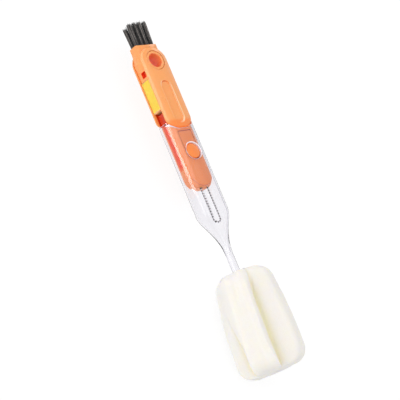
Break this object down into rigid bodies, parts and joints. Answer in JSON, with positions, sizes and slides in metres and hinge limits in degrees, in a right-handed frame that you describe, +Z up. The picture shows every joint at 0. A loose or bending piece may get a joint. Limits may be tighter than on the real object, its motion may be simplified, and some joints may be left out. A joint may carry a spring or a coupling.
{
  "type": "cup brush",
  "caption": "Pocket cup brush: foam head on a clear handle, with a slide-out orange tool that holds a swinging bristle head, a soft scraper and a wire loop.",
  "frame": {"origin": "on the floor the brush lies on, under the middle of its bounding box", "axes": "+X along the brush from the bristles towards the foam, +Z up out of the front with the button, +Y across it"},
  "size_m": [0.2708, 0.0494, 0.0488],
  "materials": {
    "orange_plastic": "satin",
    "clear_plastic": "polished",
    "foam": "matte",
    "silicone": "satin",
    "nylon": "matte",
    "steel": "satin"
  },
  "bodies": {
    "handle": {"clear_handle": "clear_plastic", "foam_head": "foam"},
    "tool": {"front_shell": "orange_plastic", "rear_shell": "orange_plastic", "pivot_eyelet": "orange_plastic", "eyelet_ring": "orange_plastic", "wire_loop": "steel"},
    "head": {"swing_head": "orange_plastic", "silicone_scraper": "silicone", "bristles_front_row": "nylon", "bristles_rear_row": "nylon", "tuft_anchor_1": "steel", "tuft_anchor_2": "steel", "tuft_anchor_3": "steel", "tuft_anchor_4": "steel", "tuft_anchor_5": "steel", "tuft_anchor_6": "steel", "tuft_anchor_7": "steel", "tuft_anchor_8": "steel"},
    "latch": {"latch_tongue": "orange_plastic"}
  },
  "joints": [
    {"name": "tool_slide", "type": "slide", "parent": "handle", "child": "tool", "axis": [-1, 0, 0], "range_m": [0, 0.085], "deforming": ["latch_tongue"]},
    {"name": "head_swing", "type": "hinge", "parent": "tool", "child": "head", "pos_m": [-0.10205, 0, 0.02416], "axis": [0, 0, 1], "range_deg": [-180, 180]},
    {"name": "latch_press", "type": "hinge", "parent": "tool", "child": "latch", "pos_m": [-0.04565, 0, 0.02896], "axis": [0, 1, 0], "range_deg": [0, 5.5], "stiffness_Nm_per_rad": 0.8}
  ]
}
